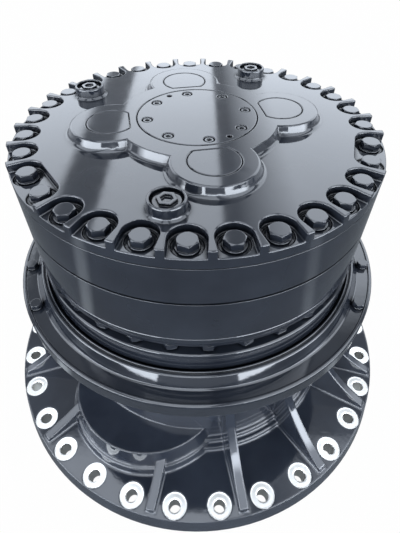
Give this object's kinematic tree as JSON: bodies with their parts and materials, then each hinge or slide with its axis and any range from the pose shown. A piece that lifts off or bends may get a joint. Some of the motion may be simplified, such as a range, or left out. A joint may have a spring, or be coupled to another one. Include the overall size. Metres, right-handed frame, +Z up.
{
  "type": "final drive",
  "caption": "Crawler final drive: ribbed base flange and neck, turning hub with raised sprocket flange, stacked gear casings and a bolted end cover with a four-lobed raised centre.",
  "frame": {"origin": "on the main axis, at the bottom face of the base flange", "axes": "+Z up the main axis from the base flange to the end cover, -Y the side that faces the camera in the picture"},
  "size_m": [1.0279, 1.028, 0.738],
  "materials": {
    "housing_paint": "glossy dark slate paint",
    "cover_paint": "glossy dark slate paint",
    "fastener_paint": "glossy dark slate paint over steel",
    "gear_steel": "ground and oiled steel",
    "bearing_steel": "ground bearing steel",
    "bronze": "machined bronze",
    "cast_iron": "machined casting"
  },
  "bodies": {
    "base": {"base_housing": "housing_paint", "spindle": "cast_iron", "lower_bearing_inner_ring": "bearing_steel", "upper_bearing_inner_ring": "bearing_steel", "lower_bearing_rollers": "bearing_steel", "upper_bearing_rollers": "bearing_steel", "bearing_nut": "bearing_steel", "planet_carrier_stage_2": "cast_iron", "planet_pins_stage_2": "gear_steel", "thrust_washers_stage_2": "bronze", "retaining_rings_stage_2": "gear_steel", "face_seal_lower": "bearing_steel"},
    "housing": {"sprocket_hub": "housing_paint", "ring_gear_casing": "housing_paint", "upper_casing": "housing_paint", "end_cover": "cover_paint", "centre_plate": "cover_paint", "centre_plate_screws": "fastener_paint", "oil_plugs": "fastener_paint", "cover_bolts": "fastener_paint", "hub_bolts": "fastener_paint", "trough_bolts": "fastener_paint", "planet_pins_stage_1": "gear_steel", "pin_caps": "cover_paint", "thrust_washers_stage_1": "bronze", "retaining_rings_stage_1": "gear_steel", "lower_bearing_outer_ring": "bearing_steel", "upper_bearing_outer_ring": "bearing_steel", "face_seal_upper": "bearing_steel"},
    "input": {"input_shaft": "gear_steel", "input_coupling": "gear_steel"},
    "ring_stage": {"floating_ring_gear": "gear_steel", "drive_flange": "gear_steel", "sun_gear_stage_2": "gear_steel"},
    "planet_stage_1_1": {"planet_gear_stage_1_1": "gear_steel", "planet_bush_stage_1_1": "bronze"},
    "planet_stage_1_2": {"planet_gear_stage_1_2": "gear_steel", "planet_bush_stage_1_2": "bronze"},
    "planet_stage_1_3": {"planet_gear_stage_1_3": "gear_steel", "planet_bush_stage_1_3": "bronze"},
    "planet_stage_1_4": {"planet_gear_stage_1_4": "gear_steel", "planet_bush_stage_1_4": "bronze"},
    "planet_stage_2_1": {"planet_gear_stage_2_1": "gear_steel", "planet_bush_stage_2_1": "bronze"},
    "planet_stage_2_2": {"planet_gear_stage_2_2": "gear_steel", "planet_bush_stage_2_2": "bronze"},
    "planet_stage_2_3": {"planet_gear_stage_2_3": "gear_steel", "planet_bush_stage_2_3": "bronze"}
  },
  "joints": [
    {"name": "housing_spin", "type": "hinge", "parent": "base", "child": "housing", "pos_m": [0, 0, 0.4], "axis": [0, 0, 1], "continuous": true},
    {"name": "input_spin", "type": "hinge", "parent": "base", "child": "input", "pos_m": [0, 0, 0.4], "axis": [0, 0, 1], "continuous": true},
    {"name": "ring_stage_spin", "type": "hinge", "parent": "base", "child": "ring_stage", "pos_m": [0, 0, 0.6], "axis": [0, 0, 1], "continuous": true},
    {"name": "planet_stage_1_1_spin", "type": "hinge", "parent": "housing", "child": "planet_stage_1_1", "pos_m": [0.02778, -0.15757, 0.65], "axis": [0, 0, 1], "continuous": true},
    {"name": "planet_stage_1_2_spin", "type": "hinge", "parent": "housing", "child": "planet_stage_1_2", "pos_m": [0.15757, 0.02778, 0.65], "axis": [0, 0, 1], "continuous": true},
    {"name": "planet_stage_1_3_spin", "type": "hinge", "parent": "housing", "child": "planet_stage_1_3", "pos_m": [-0.02778, 0.15757, 0.65], "axis": [0, 0, 1], "continuous": true},
    {"name": "planet_stage_1_4_spin", "type": "hinge", "parent": "housing", "child": "planet_stage_1_4", "pos_m": [-0.15757, -0.02778, 0.65], "axis": [0, 0, 1], "continuous": true},
    {"name": "planet_stage_2_1_spin", "type": "hinge", "parent": "base", "child": "planet_stage_2_1", "pos_m": [0, -0.18, 0.55], "axis": [0, 0, 1], "continuous": true},
    {"name": "planet_stage_2_2_spin", "type": "hinge", "parent": "base", "child": "planet_stage_2_2", "pos_m": [0.15588, 0.09, 0.55], "axis": [0, 0, 1], "continuous": true},
    {"name": "planet_stage_2_3_spin", "type": "hinge", "parent": "base", "child": "planet_stage_2_3", "pos_m": [-0.15588, 0.09, 0.55], "axis": [0, 0, 1], "continuous": true}
  ],
  "couplings": [
    {"joint": "input_spin", "follows": "housing_spin", "ratio": 16.306},
    {"joint": "ring_stage_spin", "follows": "housing_spin", "ratio": -3.2857},
    {"joint": "planet_stage_1_1_spin", "follows": "housing_spin", "ratio": -11.905},
    {"joint": "planet_stage_1_2_spin", "follows": "housing_spin", "ratio": -11.905},
    {"joint": "planet_stage_1_3_spin", "follows": "housing_spin", "ratio": -11.905},
    {"joint": "planet_stage_1_4_spin", "follows": "housing_spin", "ratio": -11.905},
    {"joint": "planet_stage_2_1_spin", "follows": "housing_spin", "ratio": 2.875},
    {"joint": "planet_stage_2_2_spin", "follows": "housing_spin", "ratio": 2.875},
    {"joint": "planet_stage_2_3_spin", "follows": "housing_spin", "ratio": 2.875}
  ]
}
